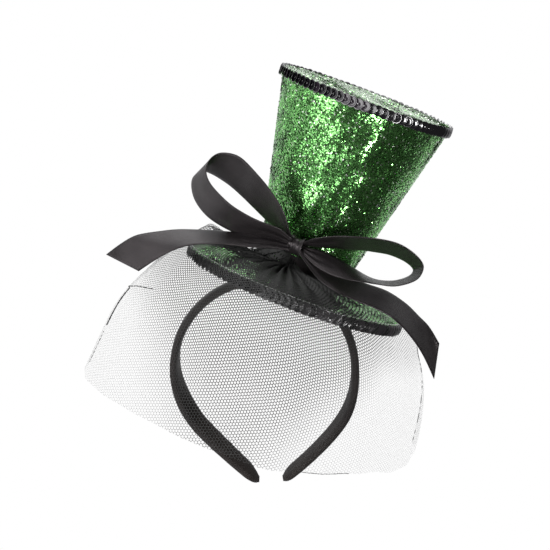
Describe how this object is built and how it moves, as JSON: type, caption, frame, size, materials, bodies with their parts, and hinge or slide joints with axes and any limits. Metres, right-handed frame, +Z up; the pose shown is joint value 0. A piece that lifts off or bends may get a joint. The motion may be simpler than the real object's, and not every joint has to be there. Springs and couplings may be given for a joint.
{
  "type": "mini top hat headband",
  "caption": "Small flared top hat with a ribbon bow and a net veil, fixed at a tilt to a springy padded headband that grips the head.",
  "frame": {"origin": "inner surface of the headband at the top of its arch, where it rests on the head", "axes": "+Z up along the headband's middle, -Y to the wearer's front, +X to the right seen from the front"},
  "size_m": [0.2508, 0.1861, 0.279],
  "materials": {
    "green_glitter": "coarse metallic glitter",
    "pale_glitter": "pale metallic glitter",
    "card": "stiff pressed card",
    "black_felt": "felt",
    "black_sequins": "cupped sequins",
    "silver_cord": "metallic thread",
    "black_satin": "satin ribbon",
    "black_net": "hexagonal net",
    "black_thread": "sewing thread",
    "glue_felt": "felt wedge set in glue",
    "band_core": "springy plastic",
    "band_foam": "thin foam"
  },
  "bodies": {
    "hat": {"brim_board": "card", "brim_top_cover": "green_glitter", "brim_under_felt": "black_felt", "brim_sequin_trim": "black_sequins", "brim_edge_cord": "silver_cord", "crown_wall": "card", "crown_cover": "green_glitter", "crown_base_ring": "card", "crown_top_board": "card", "crown_top_cover": "pale_glitter", "crown_sequin_trim": "black_sequins", "hat_band": "black_satin", "bow_knot": "black_satin", "bow_loop_left": "black_satin", "bow_loop_right": "black_satin", "bow_tail_left": "black_satin", "bow_tail_right": "black_satin", "net_veil": "black_net", "net_gather": "black_net", "gather_stitches": "black_thread", "headband_pad": "glue_felt", "headband_core_centre": "band_core", "headband_padding_centre": "band_foam", "headband_sleeve_centre": "black_satin"},
    "left_arm": {"headband_core_left": "band_core", "headband_padding_left": "band_foam", "headband_sleeve_left": "black_satin"},
    "right_arm": {"headband_core_right": "band_core", "headband_padding_right": "band_foam", "headband_sleeve_right": "black_satin"}
  },
  "joints": [
    {"name": "left_arm_flex", "type": "hinge", "parent": "hat", "child": "left_arm", "pos_m": [-0.04455, 0, -0.01295], "axis": [0, 1, 0], "range_deg": [0, 25], "stiffness_Nm_per_rad": 0.4},
    {"name": "right_arm_flex", "type": "hinge", "parent": "hat", "child": "right_arm", "pos_m": [0.04313, 0, -0.01437], "axis": [0, -1, 0], "range_deg": [0, 25], "stiffness_Nm_per_rad": 0.4}
  ]
}
